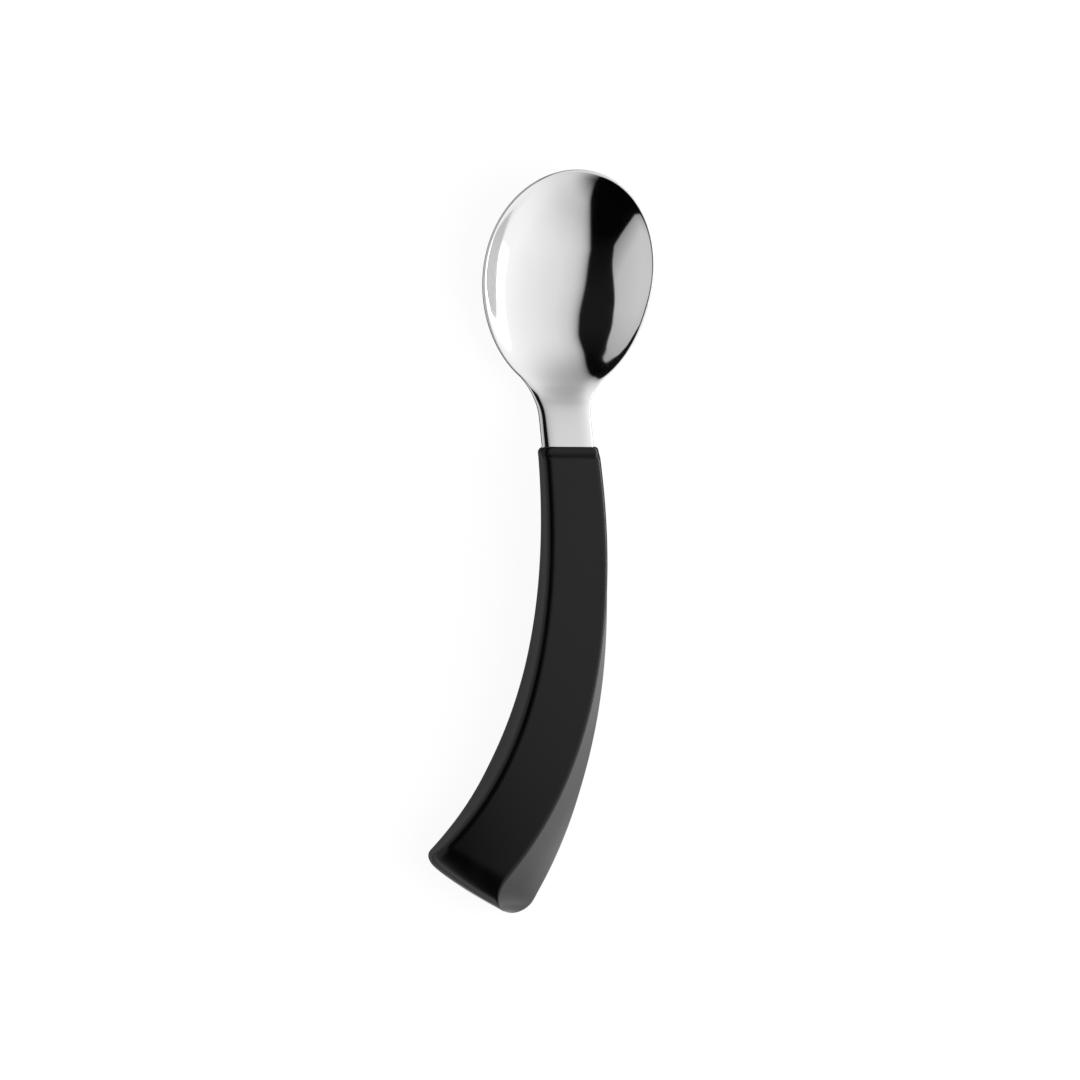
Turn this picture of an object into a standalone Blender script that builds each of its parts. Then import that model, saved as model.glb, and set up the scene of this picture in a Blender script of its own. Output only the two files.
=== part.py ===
"""Right-handed spoon: a pressed steel spoon blank whose tang is set into a curved moulded handle.

Lengths are millimetres until the mesh is written. +X is to the right, +Y runs from the handle to the tip
of the bowl, +Z is up, and the spoon lies on the plane z = 0. Shapes are worked out from the middle of the
collar, where the neck enters the handle, and then moved so that the middle of the spoon's box is the origin.
"""

import math

import bmesh
import bpy
import numpy as np
from mathutils import Matrix, Vector
from mathutils.geometry import interpolate_bezier

MM = 0.001

# Where the middle of the whole spoon's box lies, seen from the collar
BOX_MIDDLE = (-4.527, -23.977)

# Bowl, seen from above: an ellipse made egg-shaped, fuller towards its tip
BOWL_HALF_WIDTH = 21.6
BOWL_HALF_LENGTH = 26.66
BOWL_MIDDLE_Y = 39.0
BOWL_EGG = 0.061

# Bowl, hollow
BOWL_DEPTH = 8.52
HOLLOW_POWER = 2.25
HOLLOW_RUN_OUT = 1.0
RUN_OUT_YS = (48.0, 14.0)
BOWL_GAUGE = 1.25
RIM_ROUND_TOP = 0.8
RIM_ROUND_UNDER = 0.35

# Rim and neck, seen from the side
RIM_LOW_Y = 14.5
RIM_LOW_Z = 8.6
RIM_SWEEP = 0.0027
NECK_SLOPE = 0.36
CRANK_LENGTH = 4.0
TANG_LEVEL_OUT = 4.0

# Neck and tang
NECK_HALF_WIDTH = 6.54
NECK_GAUGE = 1.7
NECK_GAUGE_YS = (24.0, 9.0)
NECK_CROWN = 0.8
NECK_CROWN_POWER = 5.0
NECK_CROWN_YS = (18.0, 11.0)
NECK_ROUND_TOP = 0.35
NECK_ROUND_UNDER = 0.45
NECK_ROUND_YS = (18.0, 11.0)
SHOULDER_RADIUS = 13.0
SHOULDER_TOP_Y = -0.4
SHOULDER_FOOT_Y = -2.6
TANG_HALF_WIDTH = 4.6
TANG_END_HALF_WIDTH = 3.6
TANG_END_Y = -50.0
TANG_ROUND = 0.5
LOCK_HOLE_RADIUS = 1.9
LOCK_HOLE_YS = (-16.0, -34.0)

# Handle axis, seen from above
AXIS_START = (-0.1, 0.0)
AXIS_START_PULL = (8.75, -77.1)
AXIS_END_PULL = (-21.05, -96.95)
AXIS_END = (-25.3, -104.28)
HEEL_TURN = math.radians(32.1)

# Handle, seen from the side
TOP_AT_COLLAR = 15.5
TOP_HIGHEST = 17.2
TOP_HIGHEST_AT = 38.0
TOP_AT_HEEL = 13.6
UNDER_AT_COLLAR = 7.8
PAD_STARTS_AT = 82.0

# Handle, across; pairs run from the collar to the heel
TOP_LEFT = (7.45, 8.7)
TOP_RIGHT = (7.25, 8.2)
LEAN_AT_HEEL = math.radians(11.0)
LEAN_POWER = 1.6
ROLLED_EDGE = 1.6
ROLLED_SLOPE = math.tan(math.radians(20.0))
FOOT_RIGHT = (7.42, 8.2)
FACET_RUN = 14.95
FACET_POWER = 1.42
RIGHT_WALL = (3.4, 4.2)
RIGHT_LEAN = 0.4
UNDER_LEFT = 6.7
ROUND_LEFT_EDGE = (1.2, 1.2)
ROUND_ROLLED_EDGE = (5.0, 5.0)
ROUND_CREASE = (2.0, 1.4)
ROUND_FOOT = (2.5, 2.5)
ROUND_UNDER_RIGHT = (2.9, 3.4)
ROUND_UNDER_LEFT = (2.9, 5.0)
EDGE_ROOM = 0.94

# Collar: a small step down to a sloping band on top, and how far its lip, sides and underside are rounded
BAND_LENGTH = 1.5
BAND_SLOPE = math.tan(math.radians(13.0))
BAND_FLARE = 0.25
STEP_RUNS = (3.0, 1.3)
STEP_DROP = 0.85
COLLAR_LIP = 0.3
COLLAR_LEFT = 1.7
COLLAR_RIGHT = 0.7
COLLAR_UNDER = 1.8

# Heel: how far its top, sides and underside are rounded, and how far its end bulges
HEEL_TOP = 7.2
HEEL_TOP_DROP = 4.8
HEEL_LEFT = 3.4
HEEL_RIGHT = 5.5
HEEL_UNDER = 2.2
HEEL_CROWN = 0.6
HEEL_CROWN_ACROSS = 1.5

# Room between the tang and its socket, and how far cutters reach past what they cut
CLEARANCE = 0.3
SOCKET_MOUTH_Y = 6.0
PIN_OVERSHOOT = 2.0
PIN_SIDES = 24

# How finely the handle's section and length are divided
ARC_POINTS = 5
EDGE_POINTS = (0, 3, 2, 0, 3, 1)
COLLAR_REACH = 4.2
COLLAR_RINGS = 10
BODY_RINGS = 26
BODY_MARGINS = (2.0, 1.5)
HEEL_RINGS = 8


def blend(ends, share):
    """Value between two ends, held at the ends."""
    share = min(1.0, max(0.0, share))
    return ends[0] + (ends[1] - ends[0]) * share


def smooth(start, stop, value):
    """Smooth step from 0 at start to 1 at stop."""
    share = min(1.0, max(0.0, (value - start) / (stop - start)))
    return share * share * (3.0 - 2.0 * share)


def new_object(name, points, faces, material, collection):
    """Mesh object from points in millimetres, measured from the collar."""
    shift = np.array([BOX_MIDDLE[0], BOX_MIDDLE[1], 0.0])
    mesh = bpy.data.meshes.new(name)
    mesh.from_pydata(((np.array(points) - shift) * MM).tolist(), [], faces)
    mesh.validate()
    mesh.update()
    mesh.polygons.foreach_set("use_smooth", [True] * len(mesh.polygons))
    part = bpy.data.objects.new(name, mesh)
    collection.objects.link(part)
    if material is not None:
        part.data.materials.append(material)
    return part


def new_material(name, colour, metallic, roughness):
    """Principled material with one colour."""
    material = bpy.data.materials.new(name)
    material.use_nodes = True
    shader = material.node_tree.nodes["Principled BSDF"]
    shader.inputs["Base Color"].default_value = (*colour, 1.0)
    shader.inputs["Metallic"].default_value = metallic
    shader.inputs["Roughness"].default_value = roughness
    return material


# Steel blank


def rim_height(y):
    """Height of the rim, the top of the neck and the top of the tang, along the spoon."""
    crank_end = RIM_LOW_Y - CRANK_LENGTH
    if y >= RIM_LOW_Y:
        return RIM_LOW_Z + RIM_SWEEP * (y - RIM_LOW_Y) ** 2
    if y >= crank_end:
        return RIM_LOW_Z + NECK_SLOPE * (RIM_LOW_Y - y) ** 2 / (2.0 * CRANK_LENGTH)
    neck = RIM_LOW_Z + NECK_SLOPE * (CRANK_LENGTH / 2.0 + crank_end - max(y, 0.0))
    run = min(max(-y, 0.0), TANG_LEVEL_OUT)
    return neck + NECK_SLOPE * (run - run * run / (2.0 * TANG_LEVEL_OUT))


def egg_half_width(along):
    """Half width of the ellipse that the egg follows, at a share of its half length towards the tip."""
    return BOWL_HALF_WIDTH * (1.0 + BOWL_EGG * max(along, -1.5))


def hollow(x, y):
    """Depth of the bowl's hollow below its rim, run out smoothly into the neck."""
    along = (y - BOWL_MIDDLE_Y) / BOWL_HALF_LENGTH
    ratio = math.hypot(x / egg_half_width(along), along)
    depth = BOWL_DEPTH * (1.0 - ratio**HOLLOW_POWER)
    run_out = HOLLOW_RUN_OUT * smooth(*RUN_OUT_YS, y)
    return 0.5 * (depth + math.sqrt(depth * depth + 4.0 * run_out * run_out))


def bowl_outline_point(angle):
    """Point of the egg; a quarter turn is the tip, zero the widest place."""
    along = math.sin(angle)
    return egg_half_width(along) * math.cos(angle), BOWL_MIDDLE_Y + BOWL_HALF_LENGTH * along


def shoulder_arc():
    """Middle of the arc that joins neck and egg, and the angle on the egg where it lands."""
    middle_x = NECK_HALF_WIDTH + SHOULDER_RADIUS
    angles = np.linspace(-0.45 * math.pi, -0.1 * math.pi, 400)
    egg = np.array([bowl_outline_point(angle) for angle in angles])
    low, high = -10.0, 30.0
    for _ in range(60):
        middle_y = 0.5 * (low + high)
        reach = np.hypot(egg[:, 0] - middle_x, egg[:, 1] - middle_y)
        if reach.min() > SHOULDER_RADIUS:
            low = middle_y
        else:
            high = middle_y
    return (middle_x, middle_y), angles[int(reach.argmin())]


(ARC_X, ARC_Y), ARC_LANDING = shoulder_arc()


def neck_crown(x, y):
    """How far the domed top of the neck falls towards its edges."""
    rise = min(max(y - ARC_Y, 0.0), SHOULDER_RADIUS)
    width = NECK_HALF_WIDTH + SHOULDER_RADIUS - math.sqrt(SHOULDER_RADIUS**2 - rise**2)
    return NECK_CROWN * smooth(*NECK_CROWN_YS, y) * min(1.0, abs(x) / width) ** NECK_CROWN_POWER


def gauge(y):
    """Thickness of the steel, measured upright."""
    return blend((BOWL_GAUGE, NECK_GAUGE), smooth(*NECK_GAUGE_YS, y))


def steel_top(x, y):
    return rim_height(y) - hollow(x, y) - neck_crown(x, y)


def steel_under(x, y):
    return rim_height(y) - hollow(x, y) - gauge(y)


def half_outline(egg_points, arc_points, neck_points, tang_points):
    """Right half of the blank's outline, from the tip of the bowl round to the end of the tang."""
    land_x, land_y = bowl_outline_point(ARC_LANDING)
    arc_start = math.atan2(land_y - ARC_Y, ARC_X - land_x)
    points = [bowl_outline_point(angle) for angle in np.linspace(0.5 * math.pi, 0.0, egg_points)]
    points += [bowl_outline_point(angle) for angle in np.linspace(0.0, ARC_LANDING, egg_points)[1:]]
    for angle in np.linspace(arc_start, 0.0, arc_points)[1:]:
        points.append((ARC_X - SHOULDER_RADIUS * math.cos(angle), ARC_Y + SHOULDER_RADIUS * math.sin(angle)))
    points += [(NECK_HALF_WIDTH, y) for y in np.linspace(ARC_Y, SHOULDER_TOP_Y, neck_points)[1:]]
    return points + tang_outline(tang_points)


def tang_outline(count):
    """Right half of the tang's outline, below the neck's shoulder."""
    end_middle = TANG_END_Y + TANG_END_HALF_WIDTH
    points = []
    for share in np.linspace(0.0, 1.0, count):
        width = blend((TANG_HALF_WIDTH, TANG_END_HALF_WIDTH), share)
        points.append((width, SHOULDER_FOOT_Y + (end_middle - SHOULDER_FOOT_Y) * share))
    for angle in np.linspace(0.0, 0.5 * math.pi, 6)[1:]:
        x, y = TANG_END_HALF_WIDTH * math.cos(angle), end_middle - TANG_END_HALF_WIDTH * math.sin(angle)
        points.append((x, y))
    return points


def close_outline(half):
    """Whole outline from its right half, with the outward direction at each point."""
    left = [(-x, y) for x, y in reversed(half[1:-1])]
    ring = np.array([(0.0, half[0][1])] + half[1:-1] + [(0.0, half[-1][1])] + left)
    along = np.roll(ring, -1, axis=0) - np.roll(ring, 1, axis=0)
    along /= np.linalg.norm(along, axis=1)[:, None]
    return ring, np.column_stack([-along[:, 1], along[:, 0]])


def plate(half, spine_ends, grow, top, under, rounds, levels, arc_steps):
    """Closed plate over an outline: loops run from the spine over the top, round the edge and back below."""
    ring, outward = close_outline(half)
    ring = ring + outward * grow
    spine = np.column_stack([np.zeros(len(ring)), np.clip(ring[:, 1], *spine_ends)])
    radii = np.array([rounds(y) for y in ring[:, 1]])
    loops = []
    for side, sign, surface in ((0, 1.0, top), (1, -1.0, under)):
        radius = radii[:, side][:, None]
        inner = ring - outward * radius
        half_loops = []
        for level in levels:
            flat = spine + (inner - spine) * level
            heights = [surface(x, y) + sign * grow for x, y in flat]
            half_loops.append(np.column_stack([flat, heights]))
        for angle in np.linspace(0.0, 0.5 * math.pi, arc_steps)[1:]:
            flat = inner + outward * radius * math.sin(angle)
            drop = radius[:, 0] * (1.0 - math.cos(angle))
            heights = [surface(x, y) + sign * grow for x, y in flat] - sign * drop
            half_loops.append(np.column_stack([flat, heights]))
        loops += half_loops if side == 0 else half_loops[::-1]
    return weave(loops)


def weave(loops):
    """Points and faces of stacked loops, with points that fall together made one."""
    points, numbers, index = [], {}, []
    for loop in loops:
        row = []
        for place in loop:
            key = tuple(np.round(place, 5))
            if key not in numbers:
                numbers[key] = len(points)
                points.append(place)
            row.append(numbers[key])
        index.append(row)
    faces = []
    for upper, lower in zip(index, index[1:]):
        for k in range(len(upper)):
            following = (k + 1) % len(upper)
            corners = [upper[k], upper[following], lower[following], lower[k]]
            face = list(dict.fromkeys(corners))
            if len(face) > 2:
                faces.append(face[::-1])
    return points, faces


def steel_rounds(y):
    """Edge rounding of the blank on its top and underside."""
    if y < SHOULDER_TOP_Y - 1.0:
        return TANG_ROUND, TANG_ROUND
    share = smooth(*NECK_ROUND_YS, y)
    top = blend((RIM_ROUND_TOP, NECK_ROUND_TOP), share)
    return top, blend((RIM_ROUND_UNDER, NECK_ROUND_UNDER), share)


def build_steel(material, collection):
    half = half_outline(egg_points=17, arc_points=7, neck_points=6, tang_points=10)
    spine_ends = (TANG_END_Y + TANG_END_HALF_WIDTH, BOWL_MIDDLE_Y)
    levels = (0.0, 0.2, 0.4, 0.58, 0.74, 0.88, 1.0)
    points, faces = plate(half, spine_ends, 0.0, steel_top, steel_under, steel_rounds, levels, 4)
    return new_object("steel_spoon", points, faces, material, collection)


def build_socket(collection):
    """Cutter for the tang's socket: the neck's foot and the tang, grown by the clearance."""
    side_ys = (SOCKET_MOUTH_Y, 0.5 * SOCKET_MOUTH_Y, SHOULDER_TOP_Y)
    half = [(0.0, SOCKET_MOUTH_Y)] + [(NECK_HALF_WIDTH, y) for y in side_ys] + tang_outline(10)
    spine_ends = (TANG_END_Y + TANG_END_HALF_WIDTH, 0.5 * SOCKET_MOUTH_Y)
    levels = (0.0, 0.5, 1.0)
    points, faces = plate(half, spine_ends, CLEARANCE, steel_top, steel_under, steel_rounds, levels, 3)
    return new_object("socket_cutter", points, faces, None, collection)


def build_pin(name, y, radius, collection):
    """Upright round cutter through the tang."""
    height = NECK_GAUGE + 2.0 * PIN_OVERSHOOT
    shift = Vector((BOX_MIDDLE[0], BOX_MIDDLE[1], 0.0))
    middle = Vector((0.0, y, rim_height(y) - 0.5 * NECK_GAUGE)) - shift
    shape = bmesh.new()
    bmesh.ops.create_cone(
        shape,
        cap_ends=True,
        segments=PIN_SIDES,
        radius1=radius * MM,
        radius2=radius * MM,
        depth=height * MM,
        matrix=Matrix.Translation(middle * MM),
    )
    mesh = bpy.data.meshes.new(name)
    shape.to_mesh(mesh)
    shape.free()
    pin = bpy.data.objects.new(name, mesh)
    collection.objects.link(pin)
    return pin


# Handle


def handle_axis():
    """Arc length and places along the handle's axis."""
    knots = [Vector((*knot, 0.0)) for knot in (AXIS_START, AXIS_START_PULL, AXIS_END_PULL, AXIS_END)]
    places = np.array([place[:2] for place in interpolate_bezier(*knots, 400)])
    steps = np.linalg.norm(np.diff(places, axis=0), axis=1)
    return np.concatenate([[0.0], np.cumsum(steps)]), places


AXIS_RUN, AXIS_PLACES = handle_axis()
HANDLE_LENGTH = AXIS_RUN[-1]


def handle_top(run):
    if run < TOP_HIGHEST_AT:
        share = (TOP_HIGHEST_AT - run) / TOP_HIGHEST_AT
        return TOP_HIGHEST - (TOP_HIGHEST - TOP_AT_COLLAR) * share**2
    share = (run - TOP_HIGHEST_AT) / (HANDLE_LENGTH - TOP_HIGHEST_AT)
    return TOP_HIGHEST - (TOP_HIGHEST - TOP_AT_HEEL) * share**2


def handle_under(run):
    share = min(1.0, run / PAD_STARTS_AT)
    return UNDER_AT_COLLAR * (1.0 - share**2) ** 1.5


def end_inset(distance, radius):
    """How far a rounded end has drawn in at a distance from the end."""
    if distance >= radius:
        return 0.0
    return radius - math.sqrt(radius**2 - (radius - distance) ** 2)


def collar_drop(run):
    """Fall of the top over the collar's step, band and lip."""
    band = BAND_SLOPE * max(0.0, BAND_LENGTH - run)
    return band + STEP_DROP * smooth(*STEP_RUNS, run) + end_inset(run, COLLAR_LIP)


def section_corners(run):
    """Corners across the handle, clockwise from the top of the left wall, and their rounding."""
    share = max(0.0, run / HANDLE_LENGTH)
    to_heel = HANDLE_LENGTH - run
    lean = math.tan(LEAN_AT_HEEL * share**LEAN_POWER)
    top, under = handle_top(run), handle_under(run)
    heel_drop = end_inset(to_heel, HEEL_TOP) * HEEL_TOP_DROP / HEEL_TOP
    step = collar_drop(run)
    drop = step + heel_drop
    left_in = end_inset(run, COLLAR_LEFT) + end_inset(to_heel, HEEL_LEFT)
    collar_in = end_inset(run, COLLAR_RIGHT)
    rise = end_inset(run, COLLAR_UNDER) + end_inset(to_heel, HEEL_UNDER)

    left = blend(TOP_LEFT, share) - left_in
    right = blend(TOP_RIGHT, share)
    foot = blend(FOOT_RIGHT, share) + FACET_RUN * share**FACET_POWER
    foot_height = under + blend(RIGHT_WALL, 2.0 * share)
    facet_slope = (foot - right) / (top + right * lean - foot_height)
    foot -= collar_in + end_inset(to_heel, HEEL_RIGHT)
    rolled = top - (left - ROLLED_EDGE) * lean - drop
    corners = [
        (-left, rolled - ROLLED_EDGE * ROLLED_SLOPE),
        (-left + ROLLED_EDGE, rolled),
        (right - collar_in + BAND_FLARE * step + facet_slope * heel_drop, top + right * lean - drop),
        (foot, foot_height),
        (foot - RIGHT_LEAN, under + rise),
        (-UNDER_LEFT + left_in, under + rise),
    ]
    radii = [
        blend(ROUND_LEFT_EDGE, share),
        blend(ROUND_ROLLED_EDGE, share),
        blend(ROUND_CREASE, 2.5 * share),
        blend(ROUND_FOOT, share),
        blend(ROUND_UNDER_RIGHT, 2.0 * share),
        blend(ROUND_UNDER_LEFT, 2.0 * share),
    ]
    return np.array(corners), np.array(radii)


def section(run):
    """Rounded outline across the handle, clockwise from the top of the left wall."""
    corners, radii = section_corners(run)
    edges = np.roll(corners, -1, axis=0) - corners
    lengths = np.linalg.norm(edges, axis=1)
    edges /= lengths[:, None]
    after = np.column_stack([-edges[:, 1], edges[:, 0]])
    before = np.roll(after, 1, axis=0)
    turns = np.arctan2(before[:, 0] * after[:, 1] - before[:, 1] * after[:, 0], (before * after).sum(axis=1))
    reach = radii * np.tan(0.5 * np.abs(turns))
    room = np.minimum(1.0, EDGE_ROOM * lengths / (reach + np.roll(reach, -1)))
    radii = radii * np.minimum(room, np.roll(room, 1))
    middles = corners - (radii / (1.0 + np.cos(turns)))[:, None] * (before + after)
    places = []
    for k in range(len(corners)):
        start = math.atan2(before[k, 1], before[k, 0])
        for angle in start + turns[k] * np.linspace(0.0, 1.0, ARC_POINTS):
            places.append(middles[k] + radii[k] * np.array([math.cos(angle), math.sin(angle)]))
        following = (k + 1) % len(corners)
        begin = places[-1]
        finish = middles[following] + radii[following] * after[k]
        for step in np.linspace(0.0, 1.0, EDGE_POINTS[k] + 2)[1:-1]:
            places.append(begin + (finish - begin) * step)
    return np.array(places)


def handle_place(run, across, height):
    """Point of the handle from its run along the axis, its distance to the right and its height."""
    turn = HEEL_TURN * (max(0.0, run) / HANDLE_LENGTH) ** 2
    x = np.interp(run, AXIS_RUN, AXIS_PLACES[:, 0])
    y = np.interp(run, AXIS_RUN, AXIS_PLACES[:, 1])
    return x + across * math.cos(turn), y - across * math.sin(turn), height


HEEL_ACROSS = section(HANDLE_LENGTH)[:, 0]
HEEL_MIDDLE = 0.5 * (HEEL_ACROSS.max() + HEEL_ACROSS.min()) + HEEL_CROWN_ACROSS
HEEL_HALF = 0.5 * (HEEL_ACROSS.max() - HEEL_ACROSS.min())


def heel_bulge(across, run):
    """How far the bulging end lies behind its middle, across the heel."""
    rounding = min(1.0, max(0.0, 1.0 - (HANDLE_LENGTH - run) / HEEL_TOP))
    return HEEL_CROWN * ((across - HEEL_MIDDLE) / HEEL_HALF) ** 2 * rounding


def build_handle(material, collection):
    quarter = 0.5 * math.pi
    body_start = COLLAR_REACH + BODY_MARGINS[0]
    body_end = HANDLE_LENGTH - HEEL_TOP - BODY_MARGINS[1]
    runs = [COLLAR_REACH * (1.0 - math.cos(turn)) for turn in np.linspace(0.0, quarter, COLLAR_RINGS)]
    runs += list(np.linspace(body_start, body_end, BODY_RINGS))
    for turn in np.linspace(0.0, quarter, HEEL_RINGS):
        runs.append(HANDLE_LENGTH - HEEL_TOP * (1.0 - math.sin(turn)))
    rings = []
    for run in runs:
        ring = []
        for across, height in section(run):
            ring.append(handle_place(run - heel_bulge(across, run), across, height))
        rings.append(np.array(ring))
    points, faces = weave(rings)
    faces = [face[::-1] for face in faces]
    count = len(rings[0])
    faces.append(list(range(count))[::-1])
    faces.append(list(range(len(points) - count, len(points))))
    return new_object("handle", points, faces, material, collection)


def cut(part, cutter, operation="DIFFERENCE"):
    modifier = part.modifiers.new(cutter.name, "BOOLEAN")
    modifier.operation = operation
    modifier.solver = "EXACT"
    modifier.object = cutter


def main():
    for leftover in list(bpy.data.objects):
        bpy.data.objects.remove(leftover, do_unlink=True)
    parts = bpy.data.collections.new("right_handed_spoon")
    cutters = bpy.data.collections.new("cutters")
    bpy.context.scene.collection.children.link(parts)
    bpy.context.scene.collection.children.link(cutters)

    steel = new_material("polished_steel", (0.76, 0.76, 0.75), 1.0, 0.12)
    plastic = new_material("black_plastic", (0.012, 0.012, 0.013), 0.0, 0.32)

    spoon = build_steel(steel, parts)
    handle = build_handle(plastic, parts)
    socket = build_socket(cutters)
    for number, y in enumerate(LOCK_HOLE_YS, start=1):
        cut(spoon, build_pin(f"lock_hole_cutter_{number}", y, LOCK_HOLE_RADIUS, cutters))
        cut(socket, build_pin(f"lock_post_cutter_{number}", y, LOCK_HOLE_RADIUS - CLEARANCE, cutters))
    cut(handle, socket)

    for cutter in cutters.objects:
        cutter.hide_render = True
        cutter.display_type = "WIRE"


main()
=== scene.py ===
"""Looks of the right-handed spoon: polished steel blank, black moulded handle, white studio table.

Shapes are worked out in millimetres from the middle of the collar, where the neck enters the handle, and
then moved to where the frame holds the spoon. +X is to the right, +Y runs to the tip of the bowl, +Z is up.
"""

import math

import bmesh
import bpy
import numpy as np
from mathutils import Matrix, Vector
from mathutils.geometry import interpolate_bezier, intersect_point_line


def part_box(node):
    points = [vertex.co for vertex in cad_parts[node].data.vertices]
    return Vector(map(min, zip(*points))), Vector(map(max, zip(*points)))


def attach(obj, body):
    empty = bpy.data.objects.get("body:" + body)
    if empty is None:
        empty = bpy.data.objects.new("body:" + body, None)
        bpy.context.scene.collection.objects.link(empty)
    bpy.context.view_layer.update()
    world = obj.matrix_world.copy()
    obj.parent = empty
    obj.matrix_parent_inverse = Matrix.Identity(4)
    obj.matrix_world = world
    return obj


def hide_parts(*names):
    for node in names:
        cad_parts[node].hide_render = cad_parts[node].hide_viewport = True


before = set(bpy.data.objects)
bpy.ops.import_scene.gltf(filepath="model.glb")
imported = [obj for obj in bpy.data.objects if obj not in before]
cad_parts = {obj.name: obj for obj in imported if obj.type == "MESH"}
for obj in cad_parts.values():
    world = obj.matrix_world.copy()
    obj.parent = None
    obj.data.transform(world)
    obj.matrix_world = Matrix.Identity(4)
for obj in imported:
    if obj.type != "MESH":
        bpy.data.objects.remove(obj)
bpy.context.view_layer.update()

MM = 0.001

# Bowl, seen from above: an ellipse made egg-shaped, fuller towards its tip
BOWL_HALF_WIDTH = 21.6
BOWL_HALF_LENGTH = 26.66
BOWL_MIDDLE_Y = 39.0
BOWL_EGG = 0.061
EGG_ALONG_LEAST = -1.5

# Bowl, hollow
BOWL_DEPTH = 8.52
HOLLOW_POWER = 2.25
HOLLOW_RUN_OUT = 1.0
RUN_OUT_YS = (48.0, 14.0)
BOWL_GAUGE = 1.25
RIM_ROUND_TOP = 0.8
RIM_ROUND_UNDER = 0.35

# Rim and neck, seen from the side
RIM_LOW_Y = 14.5
RIM_LOW_Z = 8.6
RIM_SWEEP = 0.0027
NECK_SLOPE = 0.36
CRANK_LENGTH = 4.0
TANG_LEVEL_OUT = 4.0

# Neck and tang
NECK_HALF_WIDTH = 6.54
NECK_GAUGE = 1.7
NECK_GAUGE_YS = (24.0, 9.0)
NECK_CROWN = 0.8
NECK_CROWN_POWER = 5.0
NECK_CROWN_YS = (18.0, 11.0)
NECK_ROUND_TOP = 0.35
NECK_ROUND_UNDER = 0.45
NECK_ROUND_YS = (34.0, 20.0)
SHOULDER_RADIUS = 13.0
SHOULDER_ANGLES = (-0.45 * math.pi, -0.1 * math.pi)
SHOULDER_YS = (-10.0, 30.0)
SHOULDER_TOP_Y = -0.4
SHOULDER_FOOT_Y = -2.6
TANG_HALF_WIDTH = 4.6
TANG_END_HALF_WIDTH = 3.6
TANG_END_Y = -50.0
TANG_ROUND = 0.5
TANG_ROUND_BELOW = 1.0
LOCK_HOLE_RADIUS = 1.9
LOCK_HOLE_YS = (-16.0, -34.0)

# Handle axis, seen from above
AXIS_START = (-0.1, 0.0)
AXIS_START_PULL = (8.75, -77.1)
AXIS_END_PULL = (-21.05, -96.95)
AXIS_END = (-25.3, -104.28)
HEEL_TURN = math.radians(32.1)

# Handle, seen from the side
TOP_AT_COLLAR = 15.5
TOP_HIGHEST = 17.2
TOP_HIGHEST_AT = 38.0
TOP_AT_HEEL = 13.6
UNDER_AT_COLLAR = 7.8
PAD_STARTS_AT = 82.0
UNDER_POWER = 1.5

# Handle, across; pairs run from the collar to the heel, and a pace above 1 gets there sooner
TOP_LEFT = (7.45, 8.7)
TOP_RIGHT = (7.25, 8.2)
LEAN_AT_HEEL = math.radians(11.0)
LEAN_POWER = 1.6
ROLLED_EDGE = 1.6
ROLLED_SLOPE = math.tan(math.radians(20.0))
FOOT_RIGHT = (7.42, 8.2)
FACET_RUN = 14.95
FACET_POWER = 1.42
RIGHT_WALL = (3.4, 4.2)
RIGHT_LEAN = 0.4
UNDER_LEFT = 6.7
ROUND_LEFT_EDGE = (1.2, 1.2)
ROUND_ROLLED_EDGE = (5.0, 5.0)
ROUND_CREASE = (2.0, 1.4)
ROUND_FOOT = (2.5, 2.5)
ROUND_UNDER_RIGHT = (2.9, 3.4)
ROUND_UNDER_LEFT = (2.9, 5.0)
EDGE_ROOM = 0.94
WALL_PACE = 2.0
CREASE_PACE = 2.5

# Collar: a small step down to a sloping band on top, and how far its lip, sides and underside are rounded
BAND_LENGTH = 1.5
BAND_SLOPE = math.tan(math.radians(13.0))
BAND_FLARE = 0.25
STEP_RUNS = (3.0, 1.3)
STEP_DROP = 0.85
COLLAR_LIP = 0.3
COLLAR_LEFT = 1.7
COLLAR_RIGHT = 0.7
COLLAR_UNDER = 1.8

# Heel: how far its top, sides and underside are rounded, and how far its end bulges
HEEL_TOP = 7.2
HEEL_TOP_DROP = 4.8
HEEL_LEFT = 3.4
HEEL_RIGHT = 5.5
HEEL_UNDER = 2.2
HEEL_CROWN = 0.6
HEEL_CROWN_ACROSS = 1.5

# Room between the neck and the mouth of its socket, and how far cutters reach past what they cut
CLEARANCE = 0.12
SOCKET_MOUTH_Y = 6.0
PIN_OVERSHOOT = 2.0

# How finely the two pieces are divided and worked out
SEARCH_POINTS = 400
SEARCH_HALVINGS = 60
SAME_PLACE_DIGITS = 5
STRAIGHT_WITHIN = 0.004
PIN_SIDES = 48
AXIS_POINTS = 400
EGG_POINTS = 64
SHOULDER_POINTS = 24
NECK_POINTS = 14
TANG_POINTS = 30
PLATE_LEVELS = 26
PLATE_ARC_STEPS = 7
ARC_POINTS = 13
EDGE_POINTS = (3, 16, 10, 4, 14, 8)
COLLAR_RINGS = 22
BODY_RINGS = 120
COLLAR_REACH = 4.2
BODY_MARGINS = (0.7, 0.6)
CAP_SHARES = (0.8, 0.55, 0.3, 0.1)
HEEL_RINGS = 20
SHARP_ANGLE = math.radians(38.0)

# Where the collar's middle lies in the frame, from the steel's own box
STEEL_LOW, STEEL_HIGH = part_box("steel_spoon")
COLLAR_PLACE = np.array(
    [
        0.5 * (STEEL_LOW.x + STEEL_HIGH.x) / MM,
        STEEL_HIGH.y / MM - BOWL_MIDDLE_Y - BOWL_HALF_LENGTH,
        0.0,
    ]
)

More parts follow.
